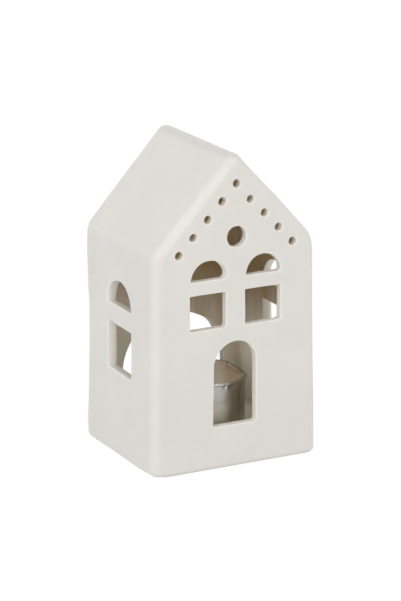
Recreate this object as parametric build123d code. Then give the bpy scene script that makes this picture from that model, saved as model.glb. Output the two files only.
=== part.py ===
from build123d import *
import os

# A slip-cast, glazed ceramic tealight house with a tealight standing on its raised floor.
# Millimetres. The origin is at the middle of the base, +X runs along the door wall to the right,
# the door wall faces -Y, the wall with the large opening for the tealight faces +Y, and +Z is up.

# Ceramic shell. Its side walls draw in a little from the base up to the eaves. The eave and ridge
# heights are those of the sharp corners, before rounding.
house_width = 83.2
house_depth = 71.6
wall_taper = 1.5
eave_height = 101.2
ridge_height = 145.1
wall = 4.2
floor_thickness = 4.5
foot_height = 5.5
foot_width = 6.0
corner_radius = 4.3
base_radius = 2.8
left_eave_radius = 10.0
right_eave_radius = 14.0
ridge_extra_radius = 0.3
cavity_corner_radius = 2.0
cavity_eave_radius = 5.0
foot_corner_radius = 3.0
glaze_radius = 0.5
sill_corner_radius = 1.2
head_corner_radius = 0.6

# Two front windows, each a rectangular light under a half-round one, with a pier between them.
# Their tops are a set drop under the eave.
window_width = 17.7
window_height = 16.1
window_bar = 6.2
window_pier = 9.5
window_drop = 4.35

# Doorway with a half-round head, from its sill up to a set distance under the windows
door_width = 21.2
door_sill = 20.1
door_below_window = 7.0

# The same pair of lights in each side wall, wider and lower, its top a set drop under the eave.
# They are cut by hand, so the right wall's sit nearer the front and a little higher.
side_window_width = 23.8
side_window_height = 21.6
side_window_bar = 9.0
side_window_drop = 18.6
left_window_offset = -1.2
right_window_offset = -5.2
right_window_rise = 1.0

# Large opening in the back wall, down to the floor, where the tealight goes in and out
back_opening_margin = 14.8
back_opening_top = 54.9
back_opening_offset = 3.0

# Row of small light holes that follows the roof, and the round light between it and the windows.
# The row falls a little less steeply than the roof.
star_diameter = 3.8
star_under_roof = 10.22
star_wall_margin = 7.75
star_pitch_share = 0.946
stars_each_side = 4
oculus_diameter = 9.5
oculus_rise_share = 0.281

# Tealight cup: deep-drawn aluminium with a rolled rim
cup_diameter = 38.0
cup_draft = 0.4
cup_height = 25.0
cup_foil = 0.4
cup_base_radius = 1.2
rim_overhang = 0.7
rim_depth = 1.5
rim_round = 0.4
cup_offset = -2.5
cup_side_offset = 1.0

# Wax filling, its wick, and the tin disc with a crimped neck that holds the wick upright
wax_gap = 0.25
wax_below_rim = 0.9
wick_diameter = 1.8
wick_above_wax = 9.0
wick_gap = 0.1
disc_diameter = 16.0
disc_thickness = 0.35
neck_wall = 0.6
neck_height = 4.0
disc_gap = 0.12

# How far a cutting tool runs past the wall that it cuts
overrun = 2.0

half_width = house_width / 2
half_depth = house_depth / 2
eave_half_width = half_width - wall_taper
roof_rise = ridge_height - eave_height
roof_slant = (eave_half_width**2 + roof_rise**2) ** 0.5
floor_top = foot_height + floor_thickness
window_top = eave_height - window_drop
window_sill = window_top - window_width / 2 - window_bar - window_height
back_opening_width = house_width - 2 * back_opening_margin
neck_diameter = wick_diameter + 2 * (wick_gap + neck_wall)
cup_radius = cup_diameter / 2
cup_base = cup_radius - cup_draft
cup_inner_base_radius = cup_base_radius - cup_foil
wax_top = floor_top + cup_height - wax_below_rim


def gable_face(inset, bottom, eave_rounds, corner_round):
    """Front view of the house, drawn in by inset all round, with its underside at bottom."""
    taper = wall_taper / eave_height
    pitch = roof_rise / eave_half_width
    ridge = ridge_height - inset * roof_slant / eave_half_width
    eave_x = (half_width - inset - taper * ridge) / (1 - taper * pitch)
    eave = ridge - eave_x * pitch
    base_x = half_width - inset - taper * bottom
    face = make_face(Polyline((-base_x, bottom), (base_x, bottom), (eave_x, eave), (0, ridge),
                              (-eave_x, eave), close=True))
    for side, eave_round in zip((-1, 1), eave_rounds):
        face = fillet(corner_at(face, side * eave_x, eave), eave_round)
    return fillet(corner_at(face, 0, ridge), corner_round + ridge_extra_radius)


def corner_at(face, across, up):
    """The corner of a flat section at that place."""
    return min(face.vertices(), key=lambda corner: (corner.center() - Vector(across, up)).length)


def gable_block(inset, bottom, eave_rounds, corner_round):
    """A solid house shape, with its walls and roof drawn in by inset and its gable edges rounded."""
    face = Plane.XZ * gable_face(inset, bottom, eave_rounds, corner_round)
    block = extrude(face, amount=half_depth - inset, both=True)
    ends = block.faces().sort_by(Axis.Y)
    edges = ends[0].edges() + ends[-1].edges()
    return fillet([edge for edge in edges if edge.center().Z > bottom + corner_round], corner_round)


def rectangular_light(width, sill, height):
    """A light with straight sides and a flat head."""
    face = Pos(0, sill + height / 2) * Rectangle(width, height)
    face = fillet(face.vertices().group_by(Axis.Y)[-1], head_corner_radius)
    return fillet(face.vertices().group_by(Axis.Y)[0], sill_corner_radius)


def arched_light(width, sill, top):
    """A light with a half-round head, on straight sides if it is taller than half its width."""
    half = width / 2
    spring = top - half
    head = ThreePointArc((half, spring), (0, top), (-half, spring))
    foot = Line((-half, spring), (half, spring))
    if spring > sill:
        foot = Polyline((-half, spring), (-half, sill), (half, sill), (half, spring))
    face = make_face(head + foot)
    return fillet(face.vertices().group_by(Axis.Y)[0], sill_corner_radius)


def window(width, sill, height, bar):
    """A rectangular light with a half-round one above its bar."""
    arch_sill = sill + height + bar
    return [rectangular_light(width, sill, height), arched_light(width, arch_sill, arch_sill + width / 2)]


def star_places():
    """Middles of the small light holes, along both sides of the roof, with the peak's first."""
    top = ridge_height - star_under_roof * roof_slant / eave_half_width
    across = (eave_half_width - wall - star_wall_margin) / stars_each_side
    down = across * star_pitch_share * roof_rise / eave_half_width
    steps = [0] + [side * step for step in range(1, stars_each_side + 1) for side in (-1, 1)]
    return [(step * across, top - abs(step) * down) for step in steps]


def front_cutters():
    """Doorway, two windows, oculus and star holes, cut through the door wall only."""
    faces = [arched_light(door_width, door_sill, window_sill - door_below_window)]
    for side in (-1, 1):
        lights = window(window_width, window_sill, window_height, window_bar)
        faces += [Pos(side * (window_width + window_pier) / 2, 0) * light for light in lights]
    oculus_height = window_top + oculus_rise_share * (star_places()[0][1] - window_top)
    faces.append(Pos(0, oculus_height) * Circle(oculus_diameter / 2))
    faces += [Pos(*place) * Circle(star_diameter / 2) for place in star_places()]
    plane = Plane.XZ.offset(half_depth - wall / 2)
    return [extrude(plane * face, amount=wall / 2 + overrun, both=True) for face in faces]


def side_cutters():
    """Both lights of each side window, cut through its own wall only."""
    sill = eave_height - side_window_drop - side_window_width / 2 - side_window_bar - side_window_height
    lights = window(side_window_width, sill, side_window_height, side_window_bar)
    reach = wall / 2 + wall_taper + overrun
    cutters = []
    for side, offset, rise in ((-1, left_window_offset, 0), (1, right_window_offset, right_window_rise)):
        plane = Plane.YZ.offset(side * (half_width - wall / 2)) * Pos(offset, rise)
        cutters += [extrude(plane * light, amount=reach, both=True) for light in lights]
    return cutters


def back_cutter():
    """The large opening in the back wall, with its sill level with the floor."""
    half = back_opening_width / 2
    spring = back_opening_top - half
    head = ThreePointArc((half, spring), (0, back_opening_top), (-half, spring))
    foot = Polyline((-half, spring), (-half, floor_top), (half, floor_top), (half, spring))
    face = Pos(back_opening_offset, 0) * make_face(head + foot)
    plane = Plane.XZ.offset(wall / 2 - half_depth)
    return extrude(plane * face, amount=wall / 2 + overrun, both=True)


def foot_cutter():
    """The hollow under the floor, which leaves a foot ring to stand on."""
    face = Rectangle(house_width - 2 * foot_width, house_depth - 2 * foot_width)
    face = fillet(face.vertices(), foot_corner_radius)
    return Pos(0, 0, -overrun) * extrude(face, amount=foot_height + overrun)


def pierced_faces(solid, direction):
    """Flat wall faces with openings in them that face about that way, the innermost along it first."""
    faces = [face for face in solid.faces().filter_by(GeomType.PLANE) if face.inner_wires()]
    faces = [face for face in faces if round(face.normal_at().dot(direction)) == 1]
    return sorted(faces, key=lambda face: face.center().dot(direction))


def back_inner_rim(solid):
    """Edges of the back opening on the inside of its wall, down to the floor."""
    rims = []
    reach = back_opening_width / 2 + glaze_radius
    for edge in solid.edges():
        middle = edge.center()
        on_wall = abs(middle.Y - (half_depth - wall)) < glaze_radius / 2
        in_reach = abs(middle.X - back_opening_offset) < reach
        above_floor = floor_top + glaze_radius < middle.Z < back_opening_top + glaze_radius
        if on_wall and in_reach and above_floor:
            rims.append(edge)
    return rims


def house_shell():
    """The one-piece ceramic house: walls, roof, floor and foot ring, with all its openings."""
    shell = gable_block(0, 0, (left_eave_radius, right_eave_radius), corner_radius)
    shell = fillet(shell.faces().sort_by(Axis.Z)[0].edges(), base_radius)
    shell -= gable_block(wall, floor_top, (cavity_eave_radius, cavity_eave_radius), cavity_corner_radius)
    shell -= foot_cutter()
    for cutter in front_cutters() + side_cutters() + [back_cutter()]:
        shell -= cutter
    for direction in (Vector(1, 0, 0), Vector(-1, 0, 0), Vector(0, 1, 0), Vector(0, -1, 0)):
        for index in range(len(pierced_faces(shell, direction))):
            wires = pierced_faces(shell, direction)[index].inner_wires()
            shell = fillet([edge for wire in wires for edge in wire.edges()], glaze_radius)
    return fillet(back_inner_rim(shell), glaze_radius)


def tealight_cup():
    """The aluminium cup, its wall and floor one foil thick, under a rolled rim."""
    rim = cup_radius + rim_overhang
    under_rim = cup_height - rim_depth
    section = make_face(Polyline((0, 0), (cup_base, 0), (cup_radius, under_rim), (rim, under_rim),
                                 (rim, cup_height), (cup_radius - cup_foil, cup_height),
                                 (cup_base - cup_foil, cup_foil), (0, cup_foil), close=True))
    rim_corners = [(rim, under_rim), (rim, cup_height), (cup_radius - cup_foil, cup_height)]
    section = fillet([corner_at(section, *place) for place in rim_corners], rim_round)
    section = fillet(corner_at(section, cup_base, 0), cup_base_radius)
    section = fillet(corner_at(section, cup_base - cup_foil, cup_foil), cup_inner_base_radius)
    return Pos(cup_side_offset, cup_offset, floor_top) * revolve(Plane.XZ * section, Axis.Z)


def wax_body():
    """The wax, which follows the inside of the cup, with a bore for the wick and a seat for its disc."""
    base = cup_base - cup_foil - wax_gap
    height = wax_top - floor_top - cup_foil
    top = base + cup_draft * height / (cup_height - cup_foil)
    section = make_face(Polyline((0, 0), (base, 0), (top, height), (0, height), close=True))
    section = fillet(corner_at(section, base, 0), cup_inner_base_radius + wax_gap)
    wax = revolve(Plane.XZ * section, Axis.Z)
    wax -= bored(wick_diameter / 2 + wick_gap, height + overrun)
    wax -= bored(neck_diameter / 2 + disc_gap, disc_thickness + neck_height + disc_gap)
    wax -= bored(disc_diameter / 2 + disc_gap, disc_thickness + disc_gap)
    return Pos(cup_side_offset, cup_offset, floor_top + cup_foil) * wax


def bored(radius, height):
    """A cutting cylinder that rises from the underside of the wax."""
    return Pos(0, 0, -overrun) * extrude(Circle(radius), amount=height + overrun)


def wick_sustainer():
    """The thin tin disc on the cup's floor, with a neck crimped round the foot of the wick."""
    disc = extrude(Circle(disc_diameter / 2), amount=disc_thickness)
    neck = extrude(Circle(neck_diameter / 2), amount=disc_thickness + neck_height)
    bore = Pos(0, 0, disc_thickness) * extrude(Circle(wick_diameter / 2 + wick_gap), amount=neck_height)
    return Pos(cup_side_offset, cup_offset, floor_top + cup_foil) * (disc + neck - bore)


def wick():
    """The cotton wick, from the disc up through the wax, with a rounded tip."""
    foot = floor_top + cup_foil + disc_thickness
    stem = extrude(Circle(wick_diameter / 2), amount=wax_top + wick_above_wax - foot)
    stem = fillet(stem.faces().sort_by(Axis.Z)[-1].edges(), wick_diameter / 3)
    return Pos(cup_side_offset, cup_offset, foot) * stem


pieces = {
    "house_shell": house_shell(),
    "tealight_cup": tealight_cup(),
    "wax_body": wax_body(),
    "wick_sustainer": wick_sustainer(),
    "wick": wick(),
}

os.makedirs("parts", exist_ok=True)
for name, piece in pieces.items():
    export_step(piece, f"parts/{name}.step")
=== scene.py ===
"""A glazed ceramic tealight house with a tall tealight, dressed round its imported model."""
import math

import bmesh
import bpy
from bpy.props import FloatProperty, FloatVectorProperty, IntProperty, PointerProperty
from mathutils import Matrix, Vector, noise
from mathutils.bvhtree import BVHTree


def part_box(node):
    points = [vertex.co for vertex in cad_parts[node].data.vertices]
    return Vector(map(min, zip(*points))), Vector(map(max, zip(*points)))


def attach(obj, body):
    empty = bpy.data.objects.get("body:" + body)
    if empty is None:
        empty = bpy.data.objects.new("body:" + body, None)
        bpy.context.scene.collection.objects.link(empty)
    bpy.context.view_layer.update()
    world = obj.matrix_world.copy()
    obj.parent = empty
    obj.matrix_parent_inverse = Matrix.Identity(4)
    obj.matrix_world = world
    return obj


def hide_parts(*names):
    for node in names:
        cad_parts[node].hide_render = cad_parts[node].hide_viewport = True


bl_info = {
    "name": "Tealight House",
    "version": (1, 0, 0),
    "blender": (4, 5, 0),
    "location": "3D View > Sidebar > Tealight House",
    "description": "Builds a slip-cast, glazed tealight house and the tealight inside it",
    "category": "Object",
}

MM = 0.001

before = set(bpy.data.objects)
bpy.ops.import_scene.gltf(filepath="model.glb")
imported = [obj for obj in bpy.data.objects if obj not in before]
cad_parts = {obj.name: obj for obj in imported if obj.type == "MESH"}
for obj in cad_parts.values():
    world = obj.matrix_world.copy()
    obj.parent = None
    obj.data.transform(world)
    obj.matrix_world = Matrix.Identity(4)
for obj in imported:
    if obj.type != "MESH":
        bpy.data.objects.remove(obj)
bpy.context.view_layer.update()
house_low, house_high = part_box("house_shell")
cup_low, cup_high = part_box("tealight_cup")
wax_low, wax_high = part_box("wax_body")
wick_low, wick_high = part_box("wick")
disc_low, disc_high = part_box("wick_sustainer")
candle_axis = Vector(((cup_low.x + cup_high.x) / 2, (cup_low.y + cup_high.y) / 2, 0))

# Each pair below is where a smooth step starts and ends. Each triple is a stretch and the fade outside it.
# The outer skin, from flat to an edge.
ROOF_FOOT = 100 * MM
SKIN_TURN = (0.004, 0.08)

# The door wall's cuts. CORNER is in shares of the half width, and names in EAVE are measured from the eave.
CORNER = (0.86, 0.97)
GABLE_NARROWING = 1.8
GABLE_UP_EAVE = (-15 * MM, -11 * MM)
GABLE_RIGHT = (0, 12 * MM)
GABLE_RIGHT_SHARE = 0.6
SHOULDER_ACROSS = (-11 * MM, -5 * MM, 4 * MM)
SHOULDER_UP_EAVE = (-10 * MM, -6 * MM, 3 * MM)
CHEEK_ACROSS = (-8 * MM, -4 * MM, 3 * MM)
CHEEK_UP = (88 * MM, 97 * MM, 4 * MM)
DOOR_ACROSS = (-13 * MM, 13 * MM, 7 * MM)
DOOR_MIDDLE = (-6 * MM, 6 * MM)
DOOR_RIGHT = (3 * MM, 9 * MM)
DOOR_FOOT_END = (16 * MM, 52 * MM)
DOOR_HEAD_START = (46 * MM, 60 * MM)
DOOR_HEAD_END = (60 * MM, 64 * MM)
DOOR_SIDE_END = (58 * MM, 64 * MM)

# The back wall's opening.
BACK_LEFT_ACROSS = (-26 * MM, -16 * MM, 7 * MM)
BACK_LEFT_END = (44 * MM, 56 * MM)
BACK_LEFT_SHARE = 0.8
BACK_RIGHT_ACROSS = (24 * MM, 31 * MM, 6 * MM)
BACK_RIGHT_END = (40 * MM, 49 * MM)
BACK_TOP_ACROSS = (-8 * MM, 14 * MM, 8 * MM)
BACK_TOP_UP = (48 * MM, 57 * MM, 6 * MM)
BACK_TOP_SHARE = 0.85

# The side lights' back jambs, along the wall and up it.
RIGHT_JAMB_ALONG = (3 * MM, 9 * MM, 4 * MM)
RIGHT_JAMB_UP = (43 * MM, 62 * MM, 3 * MM)
LEFT_JAMB_ALONG = (7 * MM, 13 * MM, 4 * MM)
LEFT_JAMB_UP = (37 * MM, 82 * MM, 4 * MM)
LEFT_JAMB_SHARE = 1.5
JAMB_TWIST = 1.4

# The walls as they settle. The bellies, the dish and the eave are in shares of the eave's height.
LEFT_BELLY_START, LEFT_BELLY_END = (-0.12, 0.47), (0.51, 0.94)
RIGHT_BELLY_START, RIGHT_BELLY_END = (0.15, 0.6), (0.95, 1.15)
DISH_END = (0.05, 0.35)
EAVE_UP = (0.97, 1.06, 0.1)
HEEL_ALONG = 12 * MM
HEEL_END = (3 * MM, 9 * MM)
TOE_ACROSS, TOE_ALONG = 9 * MM, 20 * MM
TOE_END = (1 * MM, 9 * MM)
PEAK_START, PEAK_END = (0.5 * MM, 4 * MM), (5 * MM, 24 * MM)
PEAK_BELOW_RIDGE = (-34 * MM, -10 * MM)
WAVER_PITCH, WAVER_SEED = 95.0, 7

# The foil: how far below the rim it is cut to bend, where it puckers, and the way to its dent.
FOIL_CUTS = (2.0, 2.5, 3.0, 3.6, 4.4, 5.6, 7.5, 10.0, 14.0)
PUCKER_START, PUCKER_END = (0.2 * MM, 1.0 * MM), (2.6 * MM, 4.5 * MM)
FLUTE_START, RIM_END = (1.5 * MM, 5 * MM), (0, 2 * MM)
PUCKER_FINE, PUCKER_COARSE, PUCKER_DRIFT, COARSE_SHARE = 24.0, 11.0, 700, 0.6
FLUTE_PITCH, RIM_PITCH = 7.0, 3.5
FOOT_RADIUS = 10 * MM
BULGE_HALF = math.radians(17)
DENT_RIGHT, DENT_FRONT = 0.89, 0.454

# The wax beside the dent, in degrees round it, and its ripples.
SUNK_ROUND = (-24, 22, 9)
RIPPLE_PITCH = 160.0


class Wire:
    """A node's output, with arithmetic that adds Math nodes to its material."""

    def __init__(self, tree, socket=None):
        self.tree = tree
        self.socket = socket

    def node(self, kind, settings, inputs, output=0):
        """Adds a node of that type, sets it up, fills its sockets and gives one of its outputs."""
        made = self.tree.nodes.new(kind)
        for name, value in settings.items():
            setattr(made, name, value)
        for name, value in inputs.items():
            if isinstance(value, Wire):
                self.tree.links.new(value.socket, made.inputs[name])
            else:
                made.inputs[name].default_value = value
        return Wire(self.tree, made.outputs[output])

    def output(self, name):
        """Another output of the same node."""
        return Wire(self.tree, self.socket.node.outputs[name])

    def math(self, operation, *others):
        """A Math node on this output and up to two more values."""
        inputs = {0: self, **{index + 1: other for index, other in enumerate(others)}}
        return self.node("ShaderNodeMath", {"operation": operation}, inputs)

    def __add__(self, other):
        return self.math("ADD", other)

    def __sub__(self, other):
        return self.math("SUBTRACT", other)

    def __rsub__(self, other):
        return self.node("ShaderNodeMath", {"operation": "SUBTRACT"}, {0: other, 1: self})

    def __mul__(self, other):
        return self.math("MULTIPLY", other)

    def __abs__(self):
        return self.math("ABSOLUTE")

    def largest(self, other):
        """The larger of the two values."""
        return self.math("MAXIMUM", other)

    def ramp(self, low, high, to_low=0.0, to_high=1.0):
        """A smooth step from one value to another as this output goes from low to high."""
        inputs = {"Value": self, "From Min": low, "From Max": high, "To Min": to_low, "To Max": to_high}
        return self.node("ShaderNodeMapRange", {"interpolation_type": "SMOOTHSTEP"}, inputs)

    def mix(self, first, second):
        """The first colour where this output is 0 and the second where it is 1."""
        inputs = {0: self, 6: first, 7: second}
        return self.node("ShaderNodeMix", {"data_type": "RGBA"}, inputs, output=2)

    def scaled(self, scales):
        """This vector with its parts multiplied by those scales."""
        return self.node("ShaderNodeVectorMath", {"operation": "MULTIPLY"}, {0: self, 1: scales})


def colour(values, share=1.0):
    """A property's colour, times a share, with its alpha."""
    return (*[value * share for value in values], 1.0)


class Finish:
    """A material under construction, with its shader and the coordinates that its patterns use."""

    def __init__(self, name):
        self.material = bpy.data.materials.new(name)
        self.material.use_nodes = True
        self.tree = self.material.node_tree
        self.shader = self.tree.nodes["Principled BSDF"]
        self.start = Wire(self.tree)
        self.place = self.start.node("ShaderNodeTexCoord", {}, {}, output="Object")
        self.x = self.start.node("ShaderNodeSeparateXYZ", {}, {0: self.place})
        self.y = self.x.output("Y")
        self.z = self.x.output("Z")

    def measure(self, name):
        """The piece's own measure of that name, kept at each point of its mesh."""
        return self.start.node("ShaderNodeAttribute", {"attribute_name": name}, {}, output="Fac")

    def noise(self, size, detail=3.0, roughness=0.5, stretch=(1, 1, 1)):
        """Noise whose blobs are about that many metres across, less where stretch is over 1."""
        place = self.place.scaled(stretch)
        inputs = {"Vector": place, "Scale": 1 / size, "Detail": detail, "Roughness": roughness}
        return self.start.node("ShaderNodeTexNoise", {}, inputs)

    def bump(self, height, distance, strength=1.0):
        """A Bump node's normal for a height from 0 to 1 over that distance in metres."""
        inputs = {"Strength": strength, "Distance": distance, "Height": height}
        return self.start.node("ShaderNodeBump", {}, inputs, output="Normal")

    def set(self, **values):
        """Sets or links the shader's sockets, named with underscores for their spaces."""
        for name, value in values.items():
            socket = self.shader.inputs[name.replace("_", " ").title().replace("Ior", "IOR")]
            if isinstance(value, Wire):
                self.tree.links.new(value.socket, socket)
            else:
                socket.default_value = value
        return self.material


def tone(name, description, default):
    """A property that holds a colour."""
    return FloatVectorProperty(name=name, description=description, subtype="COLOR", default=default,
                               min=0, max=1)


def length(name, description, default):
    """A property that holds a length in metres."""
    return FloatProperty(name=name, description=description, subtype="DISTANCE", default=default)


class HouseSettings(bpy.types.PropertyGroup):
    """Sizes and colours of the ceramic house."""

    glaze: tone("Glaze", "Off-white satin glaze", (0.738, 0.718, 0.680))
    # Painted highlight: the thin glaze is paler glaze over edges and the openings' rims.
    thin_glaze_highlight: tone("Thin glaze", "Glaze where it thins over an edge", (0.93, 0.895, 0.85))
    # Painted light and shade: the cut faces' tones are lit and shaded copies of the glaze, paler on the door
    # wall, the right wall and the left wall's outer skin, darker deeper in the left wall and on the back
    # wall.
    jamb: tone("Jamb", "Glaze on the cut faces of the door wall", (0.97, 0.91, 0.84))
    shaded_left_jamb: tone("Left jamb", "Glaze on the left wall's cut faces", (0.66, 0.64, 0.57))
    lit_right_jamb: tone("Right jamb", "Glaze on the right wall's cut faces", (0.93, 0.90, 0.83))
    shaded_back_jamb: tone("Back jamb", "Glaze on the back wall's cut faces", (0.30, 0.28, 0.22))
    lit_side_brow: tone("Side brow", "The left cut faces at the outer skin", (0.80, 0.775, 0.73))
    # Painted shade: the wash darkens the lining high up to a buff brown.
    shaded_wash: tone("Wash", "Thin glaze over buff clay, high up inside", (0.55, 0.41, 0.235))
    # Painted light: the crown is paler glaze inside the roof.
    lit_crown: tone("Crown", "Glaze inside the roof", (0.90, 0.78, 0.58))
    # Painted light: the pool is glaze paler than the outside, for the lining low down.
    pool: tone("Pool", "Thicker glaze, low down inside", (0.95, 0.92, 0.83))
    # Painted shade: this tone darkens the lining low down at the right, beside the cup.
    low_right_shade: tone("Bare wash", "Where the lining's glaze missed the clay", (0.60, 0.54, 0.42))
    clay: tone("Clay", "Bare fired clay under the house", (0.66, 0.58, 0.47))
    wall: length("Wall", "Thickness of the ceramic", 4.2 * MM)
    floor: length("Floor", "Height of the floor inside", 10.0 * MM)
    eave: length("Eave", "Height at which wall and roof planes meet", 101.2 * MM)
    grid: length("Grid", "Spacing of the cuts that let the walls bend", 3.5 * MM)
    left_bow: length("Left bow", "How far the back left corner draws in", 1.3 * MM)
    right_bow: length("Right bow", "How far the front right corner draws in", 0.3 * MM)
    foot_dish: length("Foot dish", "How far the left foot draws in between corners", 0.6 * MM)
    waver: length("Waver", "How far the hand-trimmed edges stray", 0.12 * MM)
    gable_drift: length("Gable drift", "How far the cuts above the windows lie off", 0.55 * MM)
    arch_shoulder: length("Arch shoulder", "How far the left arch's shoulder stands out", 0.6 * MM)
    door_spread: length("Door spread", "How far the door widens at its foot", 0.7 * MM)
    door_skew: length("Door skew", "How far the door's head leans over", 0.3 * MM)
    door_pinch: length("Door pinch", "How far the door's right side stands in", 0.4 * MM)
    arch_cheek: length("Arch cheek", "How far the left arch's inner edge leans over", 0.8 * MM)
    back_squeeze: length("Back squeeze", "How far the back opening's sides stand in", 0.8 * MM)
    jamb_slant: length("Jamb slant", "How far the side windows' back jambs slant", 1.0 * MM)
    toe_lift: length("Toe lift", "How far the front left corner of the foot lifts", 1.15 * MM)
    heel_draw: length("Heel draw", "How far the back left corner of the foot draws in", 0.4 * MM)
    eave_slump: length("Eave slump", "How far the back left eave draws in", 0.2 * MM)
    peak_slump: length("Peak slump", "How far the front peak slumps on its right", 0.8 * MM)


class CandleSettings(bpy.types.PropertyGroup):
    """Sizes and colours of the tealight."""

    foil: tone("Foil", "Drawn aluminium", (0.60, 0.585, 0.535))
    # This tone is a wax film at the lip beside the dent, and a painted reflection low on the cup.
    wax_film_and_reflection: tone("Warm foil", "Foil that is filmed with wax", (0.88, 0.83, 0.75))
    # Painted shade: a dark band along the far side of the rim.
    rim_shade: tone("Stain", "Burnt wax on the far side of the rim", (0.22, 0.18, 0.12))
    wax: tone("Wax", "Cream wax", (0.80, 0.62, 0.42))
    # Painted light: the paler film stands for light on one side of the wax.
    bloom_and_light: tone("Bloom", "Paler film on one side of the wax", (1.0, 0.88, 0.75))
    cotton: tone("Cotton", "Waxed cotton wick", (0.80, 0.77, 0.69))
    tin: tone("Tin", "Tinned disc under the wick", (0.66, 0.66, 0.64))
    gauge: length("Foil gauge", "Thickness of the cup's wall", 0.3 * MM)
    draft: length("Draft", "How much the cup narrows to its base", 0.4 * MM)
    bead: length("Bead", "How far the rolled rim stands out", 0.7 * MM)
    dent_angle: FloatProperty(name="Dent angle", description="Where the rim is pressed in",
                              subtype="ANGLE", default=math.radians(-2.6))
    dent_half: FloatProperty(name="Dent half angle", description="Half of the stretch that is pressed in",
                             subtype="ANGLE", default=math.radians(30.5))
    dent_reach: length("Dent reach", "How far below the rim the dent ends", 9.0 * MM)
    dent_belly: length("Dent belly", "How far the dent still bulges from its chord", 0.25 * MM)
    bulge: length("Bulge", "How far the foil stands out beside the dent", 0.6 * MM)
    bulge_angle: FloatProperty(name="Bulge angle", description="Where the foil stands out beside the dent",
                               subtype="ANGLE", default=math.radians(-61))
    pucker: length("Pucker", "How deep the foil puckers under the rim", 0.34 * MM)
    flute: length("Flute", "How deep the foil flutes and the rim waves", 0.1 * MM)
    sunk: length("Sunk", "How far the wax has sunk beside the dent", 1.1 * MM)
    steps: IntProperty(name="Steps", description="Facets round the cup and the wax", default=192)
    turns: FloatProperty(name="Turns", description="Turns of the wick's strands", default=7.0)


class StageSettings(bpy.types.PropertyGroup):
    """The camera, the light and the floor."""

    azimuth: FloatProperty(name="Azimuth", description="Camera's turn to the right of the front, in degrees",
                           default=-27.0526)
    elevation: FloatProperty(name="Elevation", description="Camera's angle above the horizon, in degrees",
                             default=16.1597)
    roll: FloatProperty(name="Roll", description="Camera's roll, in degrees", default=-0.1854)
    distance: length("Distance", "Camera to aim point", 1175.56 * MM)
    aim_right: length("Aim right", "Aim point to the right of the axis", 0.7502 * MM)
    aim_height: length("Aim height", "Aim point above the floor", 68.1583 * MM)
    focal: FloatProperty(name="Focal length", description="In millimetres, on a 36 mm long side",
                         default=156.09)
    sky: FloatProperty(name="Sky", description="Strength of the even light from all round", default=0.77)
    side: FloatProperty(name="Side lamp", description="Soft lamp at the left", subtype="POWER", default=5.3)
    front: FloatProperty(name="Front lamp", description="Soft lamp at the front", subtype="POWER",
                         default=4.9)
    floor_colour: tone("Floor", "Colour of the floor", (0.86, 0.86, 0.86))
    floor_reach: FloatProperty(name="Floor reach", description="Radius of the floor", subtype="DISTANCE",
                               default=3.0)


def mesh_object(name, work, sharp=40):
    """Turns a bmesh into an object of the scene, smooth but for corners over that many degrees."""
    mesh = bpy.data.meshes.new(name)
    work.to_mesh(mesh)
    work.free()
    mesh.shade_smooth()
    mesh.set_sharp_from_angle(angle=math.radians(sharp))
    made = bpy.data.objects.new(name, mesh)
    bpy.context.scene.collection.objects.link(made)
    return made


def dress(piece, material, body, node):
    """Gives a piece its material and its body, and hides the CAD node that it stands for."""
    piece.data.materials.append(material)
    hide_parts(node)
    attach(piece, body)


def smooth_step(value, low, high):
    """0 up to low, 1 from high on, and a smooth rise between them."""
    share = min(max((value - low) / (high - low), 0.0), 1.0)
    return share * share * (3 - 2 * share)


def measure_skin(work):
    """Keeps at each vertex how far it lies under the outer skin, and how sharply the skin turns there."""
    depth_layer = work.verts.layers.float.new("depth")
    edge_layer = work.verts.layers.float.new("edge")
    hull = bmesh.new()
    for vertex in work.verts:
        hull.verts.new(vertex.co)
    inner = bmesh.ops.convex_hull(hull, input=hull.verts[:])["geom_interior"]
    bmesh.ops.delete(hull, geom=[part for part in inner if isinstance(part, bmesh.types.BMVert)],
                     context="VERTS")
    tree = BVHTree.FromBMesh(hull)
    hull.free()
    slope = Vector((house_high.x, 0, house_high.z - ROOF_FOOT)).normalized()
    flats = [Vector((1, 0, 0)), Vector((0, 1, 0)), slope]
    work.normal_update()
    for vertex in work.verts:
        vertex[depth_layer] = tree.find_nearest(vertex.co)[3]
        facing = Vector([abs(part) for part in vertex.normal])
        turn = 1 - max(facing.dot(flat) for flat in flats)
        vertex[edge_layer] = smooth_step(turn, *SKIN_TURN)


def between(value, low, high, fade):
    """1 between low and high, and smoothly down to 0 over the fade outside them."""
    return smooth_step(value, low - fade, low) * (1 - smooth_step(value, high, high + fade))


def drift_of_front(house, x, z, inner):
    """How far to the right a point of the door wall goes, because its openings are cut by hand.

    The last value is 0 at the wall's outer skin and 1 at its inner one.
    """
    above_eave = z - house.eave
    toward_corner = abs(x) / house_high.x + GABLE_NARROWING * max(above_eave / house.eave, 0)
    gable = house.gable_drift * smooth_step(above_eave, *GABLE_UP_EAVE)
    gable *= 1 - GABLE_RIGHT_SHARE * smooth_step(x, *GABLE_RIGHT)
    shoulder = house.arch_shoulder * between(above_eave, *SHOULDER_UP_EAVE) * between(x, *SHOULDER_ACROSS)
    head = smooth_step(z, *DOOR_HEAD_START) * (1 - smooth_step(z, *DOOR_HEAD_END))
    foot = (1 - smooth_step(z, *DOOR_FOOT_END)) * (1 - smooth_step(x, *DOOR_MIDDLE))
    side = (1 - smooth_step(z, *DOOR_SIDE_END)) * smooth_step(x, *DOOR_RIGHT)
    door = house.door_skew * head - house.door_spread * foot - house.door_pinch * side
    cheek = house.arch_cheek * inner * between(x, *CHEEK_ACROSS) * between(z, *CHEEK_UP)
    clear = 1 - smooth_step(toward_corner, *CORNER)
    return clear * (gable + shoulder) + between(x, *DOOR_ACROSS) * door - cheek


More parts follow.
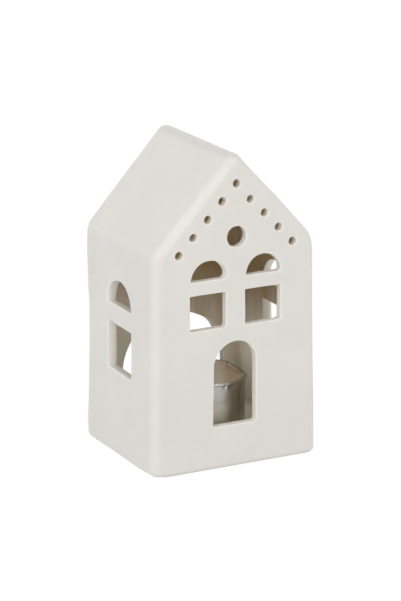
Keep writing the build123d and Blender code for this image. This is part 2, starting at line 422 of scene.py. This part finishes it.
def drift_of_back(house, x, z):
    """How far across and up a point of the back wall goes, as its opening is a little smaller."""
    left = between(x, *BACK_LEFT_ACROSS) * (1 - smooth_step(z, *BACK_LEFT_END))
    right = between(x, *BACK_RIGHT_ACROSS) * (1 - smooth_step(z, *BACK_RIGHT_END))
    top = between(x, *BACK_TOP_ACROSS) * between(z, *BACK_TOP_UP)
    return house.back_squeeze * (BACK_LEFT_SHARE * left - right), -house.back_squeeze * BACK_TOP_SHARE * top


def slant_of_jambs(house, x, y, z, right):
    """How far back a point of a side wall goes, as the back jambs of its lights are cut at a slant."""
    outer_skin = (house_high.x - 1.2 * house.wall, house_high.x - 0.6 * house.wall)
    jamb = between(y, *RIGHT_JAMB_ALONG) * between(z, *RIGHT_JAMB_UP) * right
    slant = -house.jamb_slant * jamb * (JAMB_TWIST * smooth_step(x, *outer_skin) - (JAMB_TWIST - 1))
    jamb = between(y + slant, *LEFT_JAMB_ALONG) * between(z, *LEFT_JAMB_UP)
    return slant + house.jamb_slant * LEFT_JAMB_SHARE * smooth_step(-x, *outer_skin) * jamb


def settle_walls(work, house):
    """Draws the walls in as they dry, and lets the hand-trimmed edges waver."""
    half_width, half_depth, wall = house_high.x, house_high.y, house.wall
    near_side = (0.6 * half_width, half_width - 1.3 * wall)
    near_end = (half_depth - 2 * wall, half_depth - wall)
    front_wall = (1.5 * MM - half_depth, wall - 0.3 * MM - half_depth)
    noise.seed_set(WAVER_SEED)
    for vertex in work.verts:
        x, y, z = vertex.co
        up = z / house.eave
        back = 0.5 + 0.5 * y / half_depth
        left, right = smooth_step(-x, *near_side), smooth_step(x, *near_side)
        left_belly = back * smooth_step(up, *LEFT_BELLY_START) * (1 - smooth_step(up, *LEFT_BELLY_END))
        right_belly = smooth_step(up, *RIGHT_BELLY_START) * (1 - smooth_step(up, *RIGHT_BELLY_END))
        dish = (1 - (y / half_depth) ** 2) * (1 - smooth_step(up, *DISH_END))
        slump = between(up, *EAVE_UP) * smooth_step(y, 0, half_depth)
        heel = smooth_step(y, half_depth - HEEL_ALONG, half_depth) * (1 - smooth_step(z, *HEEL_END))
        x += left * (house.left_bow * left_belly + house.foot_dish * dish)
        x += left * (house.eave_slump * slump + house.heel_draw * heel)
        x -= right * house.right_bow * right_belly * (1 - back)
        front, behind = smooth_step(-y, *near_end), smooth_step(y, *near_end)
        across, rise = drift_of_back(house, x, z)
        y += slant_of_jambs(house, x, y, z, right)
        x += front * drift_of_front(house, x, z, smooth_step(y, *front_wall)) + behind * across
        z += behind * rise
        toe = smooth_step(-x, half_width - TOE_ACROSS, half_width)
        toe *= smooth_step(-y, half_depth - TOE_ALONG, half_depth)
        z += house.toe_lift * toe * (1 - smooth_step(z, *TOE_END))
        peak = smooth_step(x, *PEAK_START) * (1 - smooth_step(x, *PEAK_END))
        peak *= smooth_step(z - house_high.z, *PEAK_BELOW_RIDGE)
        z -= house.peak_slump * peak * (1 - back)
        stray = noise.noise_vector(vertex.co * WAVER_PITCH) * house.waver
        stray *= smooth_step(vertex.co.z, 2 * wall, 5 * wall)
        x = min(max(x + stray.x, -half_width), half_width)
        y = min(max(y + stray.y, -half_depth), half_depth)
        z = min(z + stray.z, house_high.z)
        vertex.co = (x, y, z)


def outer_glaze(finish, house, cloud, mottle):
    """The glaze outside: a little uneven, thinner and painted paler as a highlight over its edges, and darker
    along the ridge as painted shade.
    """
    below_ridge = (house_high.z - 14 * MM, house_high.z - 5 * MM)
    ridge = (house_high.z - 3 * MM, house_high.z - 0.6 * MM)
    glaze = cloud.ramp(0.3, 0.7).mix(colour(house.glaze, 1.01), colour(house.glaze, 0.985))
    glaze = mottle.ramp(0.55, 0.75, 0.0, 0.5).mix(glaze, colour(house.glaze, 0.97))
    # Painted highlight: the rounded edges are paled towards the thin glaze, fading out below the ridge.
    edge_highlight = finish.measure("edge") * finish.z.ramp(*below_ridge, 0.07, 0.0)
    glaze = edge_highlight.mix(glaze, colour(house.thin_glaze_highlight))
    # Painted shade: the glaze is darker towards the ridge.
    return finish.z.ramp(*ridge, 0.0, 0.8).mix(glaze, colour(house.glaze, 0.87))


def cut_glaze(finish, house, depth):
    """The glaze on the openings' cut faces, with painted light or painted shade as its own tone on each wall,
    and a painted highlight along their rims.
    """
    low, high = 1.6 * house.wall, 1.2 * house.wall
    side_wall = abs(finish.x).ramp(house_high.x - low, house_high.x - high)
    back_wall = finish.y.ramp(house_high.y - low, house_high.y - high)
    jamb_depth, brow_depth = (0.8 * MM, 3.6 * MM), (0.3 * MM, 1.2 * MM)
    left_to_right, right_part, above_sill = (-30 * MM, 30 * MM), (0, 20 * MM), (12 * MM, 18 * MM)
    # Painted light at the left wall's outer skin, turning to painted shade deeper in, and painted light on
    # the right wall's cut faces.
    side_cut_light_and_shade = depth.ramp(*jamb_depth).mix(colour(house.lit_side_brow), colour(house.shaded_left_jamb))
    side_cut_light_and_shade = finish.x.ramp(*left_to_right).mix(side_cut_light_and_shade, colour(house.lit_right_jamb))
    # Painted shade on the back wall's cut faces at the right, above the sill.
    behind = back_wall * finish.x.ramp(*right_part) * finish.z.ramp(*above_sill)
    side_cut_light_and_shade = behind.mix(side_cut_light_and_shade, colour(house.shaded_back_jamb))
    # Painted light: the door wall's cut faces take a tone paler than the glaze.
    cut = side_wall.largest(back_wall).mix(colour(house.jamb), side_cut_light_and_shade)
    # Painted highlight: thin glaze along the rims of the cuts at the outer skin.
    return depth.ramp(*brow_depth).mix(colour(house.thin_glaze_highlight), cut)


def lining_glaze(finish, house, mottle, drips, streaks):
    """The glaze inside, with painted light and shade: pooled and pale below, a thin dark wash of painted
    shade that runs down from above, painted light in the roof and on the back wall's left part, and painted
    shade low at the right.
    """
    run = 45 * MM
    pooled, roof = (32 * MM, 78 * MM), (78 * MM, 90 * MM)
    left_part, near_back, below_arch = (-20 * MM, -2 * MM), (20 * MM, 26 * MM), (60 * MM, 82 * MM)
    at_right, near_floor, above_floor = (30 * MM, 36 * MM), (17 * MM, 33 * MM), (40 * MM, 60 * MM)
    height = finish.z + (drips - 0.5) * run
    # Painted light low down, turning to painted shade higher up.
    lining = height.ramp(*pooled).mix(colour(house.pool), colour(house.shaded_wash))
    # Painted light: the back wall's left part, below the arch, is paled towards the pool.
    lit_back_patch = finish.x.ramp(*left_part, 0.9, 0.0) * finish.y.ramp(*near_back)
    lit_back_patch = lit_back_patch * finish.z.ramp(*below_arch, 1.0, 0.3)
    lining = lit_back_patch.mix(lining, colour(house.pool))
    # Painted light: paler towards the roof.
    lining = finish.z.ramp(*roof, 0.0, 0.6).mix(lining, colour(house.lit_crown))
    lining = streaks.ramp(0.52, 0.68, 0.0, 0.15).mix(lining, colour(house.pool, 0.9))
    specks = finish.z.ramp(*above_floor) * mottle.ramp(0.5, 0.75, 0.0, 0.25)
    lining = specks.mix(lining, colour(house.shaded_wash, 0.9))
    # Painted shade: darker low down at the right inside, beside the cup.
    low_right_shade_mask = finish.x.ramp(*at_right) * finish.z.ramp(*near_floor, 0.9, 0.15)
    return low_right_shade_mask.mix(lining, colour(house.low_right_shade))


def ceramic(house):
    """Satin off-white glaze, thinner over edges and inside, with painted highlights on its edges, painted
    light and shade on its cut faces and inside, over clay that is bare underneath.
    """
    finish = Finish("glazed_ceramic")
    depth = finish.measure("depth")
    floor_skin = (house.floor - 0.6 * MM, house.floor - 0.2 * MM)
    inner_skin = (house.wall - 0.5 * MM, house.wall - 0.1 * MM)
    outer_skin, foot_ring = (0.02 * MM, 0.25 * MM), (0.4 * MM, 0.9 * MM)
    above_floor = finish.z.ramp(*floor_skin)
    beyond_wall = depth.ramp(*inner_skin)
    inside = beyond_wall * above_floor
    bare = (beyond_wall * (1 - above_floor)).largest(finish.z.ramp(*foot_ring, 1.0, 0.0))
    cloud = finish.noise(26 * MM, 2.0)
    mottle = finish.noise(4 * MM, 2.0)
    grog = finish.noise(0.7 * MM, 3.0)
    drips = finish.noise(7 * MM, 2.0, stretch=(1, 1, 0.12))
    streaks = finish.noise(2.4 * MM, 2.0, stretch=(1, 1, 0.08))
    glaze = outer_glaze(finish, house, cloud, mottle)
    glaze = depth.ramp(*outer_skin).mix(glaze, cut_glaze(finish, house, depth))
    glaze = streaks.ramp(0.4, 0.7, 0.0, 0.35).mix(glaze, colour(house.glaze, 0.985))
    lining = lining_glaze(finish, house, mottle, drips, streaks)
    clay = grog.ramp(0.35, 0.65).mix(colour(house.clay), colour(house.clay, 0.9))
    skin = bare.mix(inside.mix(glaze, lining), clay)
    roughness = bare * 0.5 + cloud.ramp(0.3, 0.7, 0.28, 0.36)
    wave = finish.noise(8 * MM, 2.0)
    pits = finish.noise(1.6 * MM, 2.0)
    swell = wave * (1 - bare) + pits * 0.12 + grog * bare * 0.5
    swell = swell + (drips * 0.8 + streaks * 0.2) * inside
    return finish.set(base_color=skin, roughness=roughness, ior=1.38, subsurface_weight=0.6,
                      subsurface_radius=(1.0, 0.8, 0.6), subsurface_scale=2.5 * MM,
                      normal=finish.bump(swell, 0.1 * MM, 0.6))


class BuildShell(bpy.types.Operator):
    """Dresses the ceramic house, with its walls settled as they dry and fire"""

    bl_idname = "tealight_house.build_shell"
    bl_label = "Ceramic house"

    def execute(self, context):
        house = context.scene.ceramic_house
        work = bmesh.new()
        work.from_mesh(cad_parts["house_shell"].data)
        bmesh.ops.remove_doubles(work, verts=work.verts, dist=0.001 * MM)
        for axis in range(3):
            low, high = house_low[axis], house_high[axis]
            steps = math.ceil((high - low) / house.grid)
            normal = Vector([1.0 if index == axis else 0.0 for index in range(3)])
            for step in range(1, steps):
                middle = normal * (low + (high - low) * step / steps)
                parts = work.verts[:] + work.edges[:] + work.faces[:]
                bmesh.ops.bisect_plane(work, geom=parts, dist=0.0001 * MM, plane_co=middle, plane_no=normal)
        measure_skin(work)
        settle_walls(work, house)
        shell = mesh_object("ceramic_house", work)
        flatten = shell.modifiers.new("flat_walls", "WEIGHTED_NORMAL")
        flatten.keep_sharp = True
        dress(shell, ceramic(house), "house", "house_shell")
        return {"FINISHED"}


def turned(points, rounds, steps):
    """A solid turned about the z axis from a profile that starts and ends on it.

    Each point is a radius and a height, and rounds gives the radius of each corner that is rounded.
    """
    work = bmesh.new()
    corners = [work.verts.new((radius, 0, height)) for radius, height in points]
    for first, second in zip(corners, corners[1:]):
        work.edges.new((first, second))
    for index, radius in rounds.items():
        bmesh.ops.bevel(work, geom=[corners[index]], offset=radius, offset_type="OFFSET", segments=5,
                        profile=0.5, affect="VERTICES", material=-1)
    bmesh.ops.spin(work, geom=work.verts[:] + work.edges[:], cent=(0, 0, 0), axis=(0, 0, 1),
                   angle=math.tau, steps=steps, use_merge=True, use_duplicate=False)
    bmesh.ops.remove_doubles(work, verts=work.verts, dist=0.001 * MM)
    bmesh.ops.recalc_face_normals(work, faces=work.faces)
    return work


def press_in(work, candle, rim_radius, clearance):
    """Presses the side of the rim in to a chord, as the tealight in the photograph is."""
    chord = rim_radius * math.cos(candle.dent_half) - clearance
    for vertex in work.verts:
        x, y, z = vertex.co
        radius = math.hypot(x, y)
        bearing = math.atan2(y, x) - candle.dent_angle
        bearing = math.atan2(math.sin(bearing), math.cos(bearing))
        weight = smooth_step(z, cup_high.z - candle.dent_reach, cup_high.z)
        if radius > 0.5 * rim_radius and abs(bearing) < candle.dent_half:
            within = radius - (rim_radius - clearance)
            belly = candle.dent_belly * (1 - (bearing / candle.dent_half) ** 2)
            pressed = chord / math.cos(bearing) + belly + within
            radius += (min(pressed, radius) - radius) * weight
            angle = bearing + candle.dent_angle
            vertex.co = (radius * math.cos(angle), radius * math.sin(angle), z)


def crinkle(work, candle):
    """Puckers the foil under the rim, flutes it down its side, and lets it bulge beside the dent."""
    for drop in FOIL_CUTS:
        parts = work.verts[:] + work.edges[:] + work.faces[:]
        bmesh.ops.bisect_plane(work, geom=parts, dist=0.0001 * MM, plane_co=(0, 0, cup_high.z - drop * MM),
                               plane_no=(0, 0, 1))
    for vertex in work.verts:
        x, y, z = vertex.co
        below = cup_high.z - z
        angle = math.atan2(y, x)
        ring = Vector((math.cos(angle), math.sin(angle), 0))
        band = smooth_step(below, *PUCKER_START) * (1 - smooth_step(below, *PUCKER_END))
        pucker = noise.noise(ring * PUCKER_FINE + Vector((0, 0, z * PUCKER_DRIFT)))
        pucker += COARSE_SHARE * noise.noise(ring * PUCKER_COARSE)
        flute = noise.noise(ring * FLUTE_PITCH) * candle.flute * smooth_step(below, *FLUTE_START)
        rim = noise.noise(ring * RIM_PITCH) * candle.flute * (1 - smooth_step(below, *RIM_END))
        turn = math.atan2(math.sin(angle - candle.bulge_angle), math.cos(angle - candle.bulge_angle))
        swell = candle.bulge * math.exp(-(turn / BULGE_HALF) ** 2)
        if math.hypot(x, y) > FOOT_RADIUS:
            outward = pucker * band * candle.pucker + flute + rim + swell
            vertex.co += ring * outward - Vector((0, 0, abs(rim)))


def settle(work):
    """Moves a turned piece from the z axis to the tealight's own axis."""
    bmesh.ops.translate(work, verts=work.verts, vec=candle_axis)


def toward_dent(finish):
    """How far a point lies from the middle of the house, on the way to the foil's dent."""
    return finish.x * DENT_RIGHT - finish.y * DENT_FRONT


def foil(candle):
    """Drawn aluminium with faint draw lines down its side and a dull, uneven sheen, with painted shade on its
    far rim and its left side and a painted reflection near its foot.
    """
    finish = Finish("cup_foil")
    top = cup_high.z
    dent_side, off_front = (0, 8 * MM), (-16 * MM, -13 * MM)
    inside_rim, rim_band = (16.5 * MM, 17.5 * MM), (top - 3 * MM, top - 2 * MM)
    rim_top = (top - 0.9 * MM, top - 0.3 * MM)
    left_part, foot_band = (1 * MM, 8 * MM), (top - 12 * MM, top - 8 * MM)
    foot_left, foot_front = (0, 7 * MM), (-10 * MM, -2 * MM)
    lines = finish.noise(0.8 * MM, 2.0, stretch=(1, 1, 0.04))
    broad = finish.noise(7 * MM, 2.0, stretch=(1, 1, 0.25))
    mottle = finish.noise(2.2 * MM, 3.0)
    ribs = finish.noise(0.6 * MM, 2.0, stretch=(0.1, 0.1, 1))
    tint = broad.ramp(0.35, 0.65).mix(colour(candle.foil), colour(candle.foil, 0.86))
    tint = mottle.ramp(0.5, 0.72, 0.0, 0.6).mix(tint, colour(candle.foil, 0.7))
    toward = toward_dent(finish)
    beside_dent = toward.ramp(*dent_side) * finish.y.ramp(*off_front)
    lip = toward.ramp(*inside_rim, 1.0, 0.0) * finish.z.ramp(*rim_band)
    tint = (lip * beside_dent).mix(tint, colour(candle.wax_film_and_reflection))
    # Painted shade: darker at the top of the rim on the far side, beside the dent.
    rim_shade = finish.z.ramp(*rim_top, 0.0, 0.85)
    tint = (rim_shade * beside_dent).mix(tint, colour(candle.rim_shade))
    # Painted shade: the foil is darker on its left side.
    tint = finish.x.ramp(*left_part, 0.7, 0.0).mix(tint, colour(candle.foil, 0.62))
    # Painted reflection of the lit floor: the foil is warmer and paler low on its front left.
    foot = finish.z.ramp(*foot_band, 1.0, 0.0) * finish.x.ramp(*foot_left, 1.0, 0.0)
    foot = foot * finish.y.ramp(*foot_front, 1.0, 0.0)
    tint = (foot * 0.55).mix(tint, colour(candle.wax_film_and_reflection))
    roughness = lines.ramp(0.3, 0.7, 0.28, 0.36) + mottle.ramp(0.45, 0.7, 0.0, 0.1) + foot * 0.3
    height = lines * 0.3 + broad * 1.0 + mottle * 0.15 + ribs * 0.7
    return finish.set(base_color=tint, metallic=1.0, roughness=roughness,
                      normal=finish.bump(height, 0.12 * MM, 0.6))


def candle_wax(candle):
    """Cream wax with a paler film of painted light on one side, which stops short of the dent."""
    finish = Finish("wax")
    film_end, film_stray = (9 * MM, 14 * MM), 6 * MM
    bloom_and_light = finish.noise(6 * MM, 3.0)
    grain = finish.noise(0.9 * MM, 2.0)
    lit_film = (toward_dent(finish) + (bloom_and_light - 0.5) * film_stray).ramp(*film_end, 1.0, 0.0)
    tint = bloom_and_light.ramp(0.35, 0.65).mix(colour(candle.wax), colour(candle.wax, 0.95))
    # Painted light: paler wax away from the dent.
    tint = lit_film.mix(tint, colour(candle.bloom_and_light))
    roughness = bloom_and_light.ramp(0.3, 0.7, 0.38, 0.5)
    return finish.set(base_color=tint, roughness=roughness, subsurface_weight=0.4,
                      subsurface_radius=(1.0, 0.6, 0.35), subsurface_scale=1.5 * MM,
                      normal=finish.bump(bloom_and_light + grain * 0.3, 0.08 * MM, 0.5))


def cotton(candle):
    """Cotton stiffened with wax, with the fibres running along it."""
    finish = Finish("cotton_wick")
    fibre = finish.noise(0.25 * MM, 3.0, stretch=(1, 1, 0.3))
    tint = fibre.ramp(0.35, 0.65).mix(colour(candle.cotton), colour(candle.cotton, 0.85))
    return finish.set(base_color=tint, roughness=fibre.ramp(0.3, 0.7, 0.75, 0.9),
                      normal=finish.bump(fibre, 0.06 * MM, 0.8))


def tinplate(candle):
    """Bright tinplate with a stamped sheen."""
    finish = Finish("tinplate")
    sheen = finish.noise(1.5 * MM, 3.0)
    tint = sheen.ramp(0.35, 0.65).mix(colour(candle.tin), colour(candle.tin, 0.92))
    return finish.set(base_color=tint, metallic=1.0, roughness=sheen.ramp(0.3, 0.7, 0.25, 0.36),
                      normal=finish.bump(sheen, 0.03 * MM, 0.5))


class BuildCup(bpy.types.Operator):
    """Dresses the aluminium cup, with its rolled rim, puckered foil and pressed side"""

    bl_idname = "tealight_house.build_cup"
    bl_label = "Tealight cup"

    def execute(self, context):
        candle = context.scene.tealight
        outer = (cup_high.x - cup_low.x) / 2
        side = outer - candle.bead
        base = side - candle.draft
        low, high = cup_low.z, cup_high.z
        gauge = candle.gauge
        stand = 0.15 * MM
        foot_corner, foot_round = 3, 1.2 * MM
        inner_corner, inner_round = 11, 0.8 * MM
        points = [(0, low + stand), (base * 0.62, low + stand), (base * 0.66, low),
                  (base, low), (side, high - 1.45 * MM), (outer - 0.2 * MM, high - 1.4 * MM),
                  (outer, high - 1.0 * MM), (outer, high - 0.4 * MM),
                  (outer - 0.25 * MM, high), (outer - 0.7 * MM, high - 0.15 * MM),
                  (side - gauge, high - 1.0 * MM), (base - gauge, low + gauge),
                  (0, low + gauge)]
        work = turned(points, {foot_corner: foot_round, inner_corner: inner_round}, candle.steps)
        crinkle(work, candle)
        press_in(work, candle, side, 0.0)
        settle(work)
        cup = mesh_object("candle_cup", work, 50)
        dress(cup, foil(candle), "tealight", "tealight_cup")
        return {"FINISHED"}


class BuildWax(bpy.types.Operator):
    """Dresses the wax, which climbs a little at the foil and dips round the wick"""

    bl_idname = "tealight_house.build_wax"
    bl_label = "Wax"

    def execute(self, context):
        candle = context.scene.tealight
        rim_radius = (cup_high.x - cup_low.x) / 2 - candle.bead
        outer = (wax_high.x - wax_low.x) / 2
        base = outer - candle.draft
        low, high = wax_low.z, wax_high.z
        bore = (wick_high.x - wick_low.x) / 2 + 0.1 * MM
        neck = bore + 0.75 * MM
        seat = (disc_high.x - disc_low.x) / 2 + 0.12 * MM
        neck_top, seat_top, chamfer = low + 4.5 * MM, low + 0.5 * MM, 0.9 * MM
        skin, sunk_width, ripple, foil_gap = 2 * MM, 5 * MM, 0.12 * MM, 0.5 * MM
        points = [(bore, high - 0.1 * MM), (bore + 0.7 * MM, high - 0.35 * MM),
                  (outer * 0.3, high - 0.25 * MM), (outer * 0.75, high - 0.3 * MM),
                  (outer - 1.4 * MM, high - 0.05 * MM),
                  (outer - 0.5 * MM, high + 0.25 * MM), (outer + 0.3 * MM, high + 0.7 * MM),
                  (outer + 0.45 * MM, high + 0.72 * MM), (outer, high - 0.2 * MM),
                  (base, low + chamfer), (base - chamfer, low), (seat, low), (seat, seat_top),
                  (neck, seat_top), (neck, neck_top), (bore, neck_top), (bore, high - 0.1 * MM)]
        work = turned(points, {}, candle.steps)
        for vertex in work.verts:
            x, y, z = vertex.co
            if z > high - skin:
                sunk = between(math.degrees(math.atan2(y, x)), *SUNK_ROUND)
                sunk *= smooth_step(math.hypot(x, y), outer - sunk_width, outer)
                vertex.co.z += noise.noise(vertex.co * RIPPLE_PITCH) * ripple - sunk * candle.sunk
        press_in(work, candle, rim_radius, foil_gap)
        settle(work)
        wax = mesh_object("candle_wax", work, 60)
        dress(wax, candle_wax(candle), "candle", "wax_body")
        return {"FINISHED"}


class BuildWick(bpy.types.Operator):
    """Twists the wick from three strands of cotton"""

    bl_idname = "tealight_house.build_wick"
    bl_label = "Wick"

    def execute(self, context):
        candle = context.scene.tealight
        reach = (wick_high.x - wick_low.x) / 2
        strand = 0.48 * reach
        strands, facets, steps = 3, 8, int(candle.turns * 16)
        height = wick_high.z - wick_low.z
        work = bmesh.new()
        for index in range(strands):
            bearing = Matrix.Rotation(math.tau * index / strands, 4, "Z")
            start = bearing @ Matrix.Translation((reach - strand, 0, 0))
            ring = bmesh.ops.create_circle(work, cap_ends=False, segments=facets, radius=strand,
                                           matrix=start)["verts"]
            edges = [edge for edge in work.edges if edge.verts[0] in ring and edge.verts[1] in ring]
            bmesh.ops.spin(work, geom=ring + edges, cent=(0, 0, 0), axis=(0, 0, 1),
                           dvec=(0, 0, (height - strand) / steps), angle=math.tau * candle.turns, steps=steps,
                           use_merge=False, use_duplicate=False)
        bmesh.ops.holes_fill(work, edges=[edge for edge in work.edges if edge.is_boundary], sides=0)
        bmesh.ops.recalc_face_normals(work, faces=work.faces)
        bmesh.ops.translate(work, verts=work.verts, vec=(0, 0, wick_low.z))
        settle(work)
        wick = mesh_object("candle_wick", work, 60)
        dress(wick, cotton(candle), "candle", "wick")
        return {"FINISHED"}


class BuildDisc(bpy.types.Operator):
    """Dresses the stamped tin disc and the neck that is crimped round the wick"""

    bl_idname = "tealight_house.build_disc"
    bl_label = "Wick disc"

    def execute(self, context):
        candle = context.scene.tealight
        outer = (disc_high.x - disc_low.x) / 2
        low, high = disc_low.z, disc_high.z
        bore = (wick_high.x - wick_low.x) / 2 + 0.06 * MM
        neck = bore + 0.55 * MM
        sheet, facets = 0.35 * MM, 96
        crimp_start = (low + 1.2 * MM, low + 2.2 * MM)
        crimp_end = (high - 1.2 * MM, high)
        crimp_share, crimps = 0.18, 4
        points = [(0, low), (outer, low), (outer, low + sheet), (outer * 0.8, low + sheet),
                  (outer * 0.77, low + 0.7 * sheet), (outer * 0.5, low + 0.7 * sheet),
                  (outer * 0.47, low + sheet), (neck + 0.3 * MM, low + sheet), (neck, low + sheet + 0.3 * MM),
                  (neck, high - 0.15 * MM), (neck - 0.2 * MM, high), (bore, high), (bore, low + sheet),
                  (0, low + sheet)]
        work = turned(points, {}, facets)
        for vertex in work.verts:
            x, y, z = vertex.co
            if bore < math.hypot(x, y) - 0.1 * MM < neck and z > low + 2 * sheet:
                pinch = 0.5 + 0.5 * math.cos(crimps * math.atan2(y, x))
                band = smooth_step(z, *crimp_start) * (1 - smooth_step(z, *crimp_end))
                share = 1 - crimp_share * pinch * band
                vertex.co = (x * share, y * share, z)
        settle(work)
        disc = mesh_object("wick_disc", work, 40)
        dress(disc, tinplate(candle), "candle", "wick_sustainer")
        return {"FINISHED"}


class BuildStage(bpy.types.Operator):
    """Sets up the floor, the light and the camera"""

    bl_idname = "tealight_house.build_stage"
    bl_label = "Floor, light and camera"

    def execute(self, context):
        stage = context.scene.tealight_stage
        self.build_floor(stage)
        self.build_sky(stage)
        self.build_lamp("side_lamp", stage.side, azimuth=-60, elevation=36, distance=1.7, size=1.1)
        self.build_lamp("front_lamp", stage.front, azimuth=-8, elevation=20, distance=1.7, size=1.0)
        self.build_camera(stage)
        context.scene.view_settings.view_transform = "Standard"
        return {"FINISHED"}

    @staticmethod
    def seen_rays(tree):
        """1 for rays from the camera, from a reflection or through glass, and 0 for the light."""
        start = Wire(tree)
        camera = start.node("ShaderNodeLightPath", {}, {}, output="Is Camera Ray")
        return camera.largest(camera.output("Is Glossy Ray")).largest(camera.output("Is Transmission Ray"))

    def build_floor(self, stage):
        """A pale floor that looks white to the camera and keeps the object's shadow."""
        work = bmesh.new()
        bmesh.ops.create_circle(work, cap_ends=True, segments=64, radius=stage.floor_reach)
        floor = mesh_object("floor", work)
        finish = Finish("floor_white")
        finish.set(base_color=colour(stage.floor_colour), roughness=0.9)
        seen = self.seen_rays(finish.tree)
        white, brightness, glow_share = (1, 1, 1, 1), 1.05, 0.9
        glow = seen.node("ShaderNodeEmission", {}, {"Color": white, "Strength": brightness})
        surface = Wire(finish.tree, finish.shader.outputs[0])
        mixed = seen.node("ShaderNodeMixShader", {}, {0: seen * glow_share, 1: surface, 2: glow})
        finish.tree.links.new(mixed.socket, finish.tree.nodes["Material Output"].inputs["Surface"])
        floor.data.materials.append(finish.material)

    def build_sky(self, stage):
        """Even light from all round, behind a white that only the camera and reflections see."""
        world = bpy.data.worlds.new("studio")
        world.use_nodes = True
        tree = world.node_tree
        seen = self.seen_rays(tree)
        strength = seen.ramp(0.0, 1.0, stage.sky, 1.0)
        background = tree.nodes["Background"]
        background.inputs["Color"].default_value = (1, 1, 1, 1)
        tree.links.new(strength.socket, background.inputs["Strength"])
        bpy.context.scene.world = world

    @staticmethod
    def build_lamp(name, power, azimuth, elevation, distance, size):
        """A soft square lamp that points at the middle of the house."""
        lamp = bpy.data.lights.new(name, "AREA")
        lamp.energy = power
        lamp.size = size
        made = bpy.data.objects.new(name, lamp)
        aim = Vector((0, 0, house_high.z / 2))
        away = direction(azimuth, elevation)
        made.location = aim + away * distance
        made.rotation_euler = (-away).to_track_quat("-Z", "Y").to_euler()
        bpy.context.scene.collection.objects.link(made)

    @staticmethod
    def build_camera(stage):
        """The photograph's viewing angle, from the front left and a little above."""
        back = direction(stage.azimuth, stage.elevation)
        roll = math.radians(stage.roll)
        right = (-back).cross(Vector((0, 0, 1))).normalized()
        up = right.cross(-back)
        rolled = math.cos(roll) * right + math.sin(roll) * up
        up = math.cos(roll) * up - math.sin(roll) * right
        lens = bpy.data.cameras.new("camera")
        lens.sensor_width = 36.0
        lens.lens = stage.focal
        lens.clip_start = 0.1
        lens.clip_end = 20.0
        camera = bpy.data.objects.new("camera", lens)
        axes = Matrix((rolled, up, back)).transposed().to_4x4()
        aim = rolled * stage.aim_right + Vector((0, 0, stage.aim_height))
        camera.matrix_world = Matrix.Translation(aim + back * stage.distance) @ axes
        bpy.context.scene.collection.objects.link(camera)
        bpy.context.scene.camera = camera


def direction(azimuth, elevation):
    """The way from the object to something at that azimuth and elevation, in degrees."""
    turn, lift = math.radians(azimuth), math.radians(elevation)
    return Vector((math.sin(turn) * math.cos(lift), -math.cos(turn) * math.cos(lift), math.sin(lift)))


class TealightHousePanel(bpy.types.Panel):
    """Lists the pieces in the sidebar"""

    bl_idname = "VIEW3D_PT_tealight_house"
    bl_label = "Tealight House"
    bl_space_type = "VIEW_3D"
    bl_region_type = "UI"
    bl_category = "Tealight House"

    def draw(self, context):
        layout = self.layout
        for operator in OPERATORS:
            layout.operator(operator.bl_idname)
        for settings in (context.scene.ceramic_house, context.scene.tealight, context.scene.tealight_stage):
            box = layout.box()
            for name in settings.bl_rna.properties.keys():
                if name not in ("rna_type", "name"):
                    box.prop(settings, name)


OPERATORS = (BuildShell, BuildCup, BuildWax, BuildWick, BuildDisc, BuildStage)
CLASSES = (HouseSettings, CandleSettings, StageSettings, *OPERATORS, TealightHousePanel)


def register():
    """Adds the classes and the scene's settings."""
    for each in CLASSES:
        bpy.utils.register_class(each)
    bpy.types.Scene.ceramic_house = PointerProperty(type=HouseSettings)
    bpy.types.Scene.tealight = PointerProperty(type=CandleSettings)
    bpy.types.Scene.tealight_stage = PointerProperty(type=StageSettings)


def unregister():
    """Removes what register added."""
    del bpy.types.Scene.ceramic_house
    del bpy.types.Scene.tealight
    del bpy.types.Scene.tealight_stage
    for each in reversed(CLASSES):
        bpy.utils.unregister_class(each)


def main():
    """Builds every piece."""
    register()
    bpy.ops.tealight_house.build_shell()
    bpy.ops.tealight_house.build_cup()
    bpy.ops.tealight_house.build_wax()
    bpy.ops.tealight_house.build_wick()
    bpy.ops.tealight_house.build_disc()
    bpy.ops.tealight_house.build_stage()


if __name__ == "__main__":
    main()
